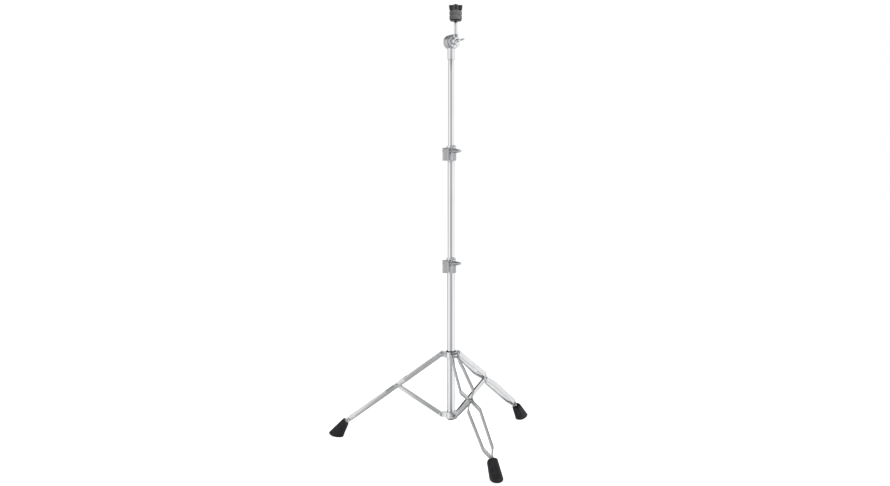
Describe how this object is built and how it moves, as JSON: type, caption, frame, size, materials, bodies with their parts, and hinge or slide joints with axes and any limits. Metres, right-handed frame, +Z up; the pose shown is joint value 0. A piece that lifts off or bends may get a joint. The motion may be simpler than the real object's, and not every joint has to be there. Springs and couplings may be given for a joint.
{
  "type": "cymbal stand",
  "caption": "Straight folding cymbal stand with a tripod of paired steel strips, telescoping tubes with clamps and memory rings, and a toothed tilter.",
  "frame": {"origin": "middle of the three feet's footprint on the floor", "axes": "+Z up along the tubes; one leg points to -Y"},
  "size_m": [0.7394, 0.6444, 1.4305],
  "materials": {
    "chrome": "polished chrome plate on steel tube",
    "cast_chrome": "chrome plate on die casting",
    "plated_steel": "bright plate on pressed steel",
    "rubber": "matt black moulded rubber",
    "nylon": "black nylon",
    "felt": "dark grey pressed felt",
    "black_plastic": "glossy black moulding"
  },
  "bodies": {
    "base": {"base_tube": "chrome", "base_tube_plug": "rubber", "brace_hub": "cast_chrome", "lower_clamp": "cast_chrome", "lower_clamp_bushing": "nylon", "lower_clamp_bolt": "plated_steel", "front_brace_hinge_pin": "plated_steel", "right_brace_hinge_pin": "plated_steel", "left_brace_hinge_pin": "plated_steel"},
    "hub": {"leg_hub": "cast_chrome", "leg_hub_bushing": "nylon", "front_leg_hinge_pin": "plated_steel", "right_leg_hinge_pin": "plated_steel", "left_leg_hinge_pin": "plated_steel"},
    "hub_bolt": {"leg_hub_wing_bolt": "cast_chrome"},
    "lower_nut": {"lower_clamp_wing_nut": "cast_chrome"},
    "lower_ring": {"lower_memory_ring": "cast_chrome", "lower_ring_key_screw": "plated_steel"},
    "middle": {"middle_tube": "chrome", "upper_clamp": "cast_chrome", "upper_clamp_bushing": "nylon", "upper_clamp_bolt": "plated_steel"},
    "upper_nut": {"upper_clamp_wing_nut": "cast_chrome"},
    "upper_ring": {"upper_memory_ring": "cast_chrome", "upper_ring_key_screw": "plated_steel"},
    "top": {"top_tube": "chrome", "tilter_housing": "cast_chrome", "tilter_bolt": "plated_steel"},
    "stem": {"tilter_disc": "cast_chrome", "stem": "chrome", "cymbal_sleeve": "nylon", "lower_felt": "felt", "upper_felt": "felt"},
    "tilter_nut": {"tilter_wing_nut": "cast_chrome"},
    "top_nut": {"top_wing_nut": "black_plastic"},
    "front_leg": {"front_leg_strip_a": "plated_steel", "front_leg_strip_b": "plated_steel", "front_leg_brace_rivet_a": "plated_steel", "front_leg_brace_rivet_b": "plated_steel", "front_leg_end_rivet": "plated_steel", "front_foot": "rubber"},
    "front_brace": {"front_brace": "plated_steel"},
    "right_leg": {"right_leg_strip_a": "plated_steel", "right_leg_strip_b": "plated_steel", "right_leg_brace_rivet_a": "plated_steel", "right_leg_brace_rivet_b": "plated_steel", "right_leg_end_rivet": "plated_steel", "right_foot": "rubber"},
    "right_brace": {"right_brace": "plated_steel"},
    "left_leg": {"left_leg_strip_a": "plated_steel", "left_leg_strip_b": "plated_steel", "left_leg_brace_rivet_a": "plated_steel", "left_leg_brace_rivet_b": "plated_steel", "left_leg_end_rivet": "plated_steel", "left_foot": "rubber"},
    "left_brace": {"left_brace": "plated_steel"}
  },
  "joints": [
    {"name": "leg_hub_slide", "type": "slide", "parent": "base", "child": "hub", "axis": [0, 0, 1], "range_m": [0, 0.1614]},
    {"name": "front_leg_fold", "type": "hinge", "parent": "hub", "child": "front_leg", "pos_m": [0, 0.07073, 0.30007], "axis": [1, 0, 0], "range_deg": [0, 49.75]},
    {"name": "front_brace_fold", "type": "hinge", "parent": "base", "child": "front_brace", "pos_m": [0, 0.06873, 0.096], "axis": [1, 0, 0], "range_deg": [-55.38, 0]},
    {"name": "right_leg_fold", "type": "hinge", "parent": "hub", "child": "right_leg", "pos_m": [0.02598, 0.11573, 0.30007], "axis": [-0.5, 0.866, 0], "range_deg": [0, 49.75]},
    {"name": "right_brace_fold", "type": "hinge", "parent": "base", "child": "right_brace", "pos_m": [0.02771, 0.11673, 0.096], "axis": [-0.5, 0.866, 0], "range_deg": [-55.38, 0]},
    {"name": "left_leg_fold", "type": "hinge", "parent": "hub", "child": "left_leg", "pos_m": [-0.02598, 0.11573, 0.30007], "axis": [-0.5, -0.866, 0], "range_deg": [0, 49.75]},
    {"name": "left_brace_fold", "type": "hinge", "parent": "base", "child": "left_brace", "pos_m": [-0.02771, 0.11673, 0.096], "axis": [-0.5, -0.866, 0], "range_deg": [-55.38, 0]},
    {"name": "leg_hub_wing_bolt_turn", "type": "hinge", "parent": "hub", "child": "hub_bolt", "pos_m": [0, 0.10073, 0.29707], "axis": [0, 1, 0], "continuous": true},
    {"name": "lower_clamp_wing_nut_turn", "type": "hinge", "parent": "base", "child": "lower_nut", "pos_m": [0.01115, 0.07525, 0.601], "axis": [0.9461, -0.3239, 0], "continuous": true},
    {"name": "lower_memory_ring_turn", "type": "hinge", "parent": "base", "child": "lower_ring", "pos_m": [0, 0.10073, 0.6113], "axis": [0, 0, 1], "continuous": true},
    {"name": "middle_tube_slide", "type": "slide", "parent": "lower_ring", "child": "middle", "axis": [0, 0, 1], "range_m": [-0.305, 0.06]},
    {"name": "upper_clamp_wing_nut_turn", "type": "hinge", "parent": "middle", "child": "upper_nut", "pos_m": [0.01115, 0.07525, 0.965], "axis": [0.9461, -0.3239, 0], "continuous": true},
    {"name": "upper_memory_ring_turn", "type": "hinge", "parent": "middle", "child": "upper_ring", "pos_m": [0, 0.10073, 0.9753], "axis": [0, 0, 1], "continuous": true},
    {"name": "top_tube_slide", "type": "slide", "parent": "upper_ring", "child": "top", "axis": [0, 0, 1], "range_m": [-0.27, 0.05]},
    {"name": "cymbal_tilt", "type": "hinge", "parent": "top", "child": "stem", "pos_m": [0, 0.10073, 1.314], "axis": [0.2605, -0.9655, 0], "range_deg": [-90, 90]},
    {"name": "tilter_wing_nut_turn", "type": "hinge", "parent": "top", "child": "tilter_nut", "pos_m": [0.0092, 0.06665, 1.314], "axis": [0.2605, -0.9655, 0], "continuous": true},
    {"name": "top_wing_nut_turn", "type": "hinge", "parent": "stem", "child": "top_nut", "pos_m": [0.00672, 0.07582, 1.4092], "axis": [0, 0, 1], "continuous": true}
  ],
  "couplings": [
    {"joint": "front_leg_fold", "follows": "leg_hub_slide", "rad_per_m": 5.3595},
    {"joint": "front_brace_fold", "follows": "leg_hub_slide", "rad_per_m": -5.9688},
    {"joint": "right_leg_fold", "follows": "leg_hub_slide", "rad_per_m": 5.3595},
    {"joint": "right_brace_fold", "follows": "leg_hub_slide", "rad_per_m": -5.9688},
    {"joint": "left_leg_fold", "follows": "leg_hub_slide", "rad_per_m": 5.3595},
    {"joint": "left_brace_fold", "follows": "leg_hub_slide", "rad_per_m": -5.9688}
  ]
}
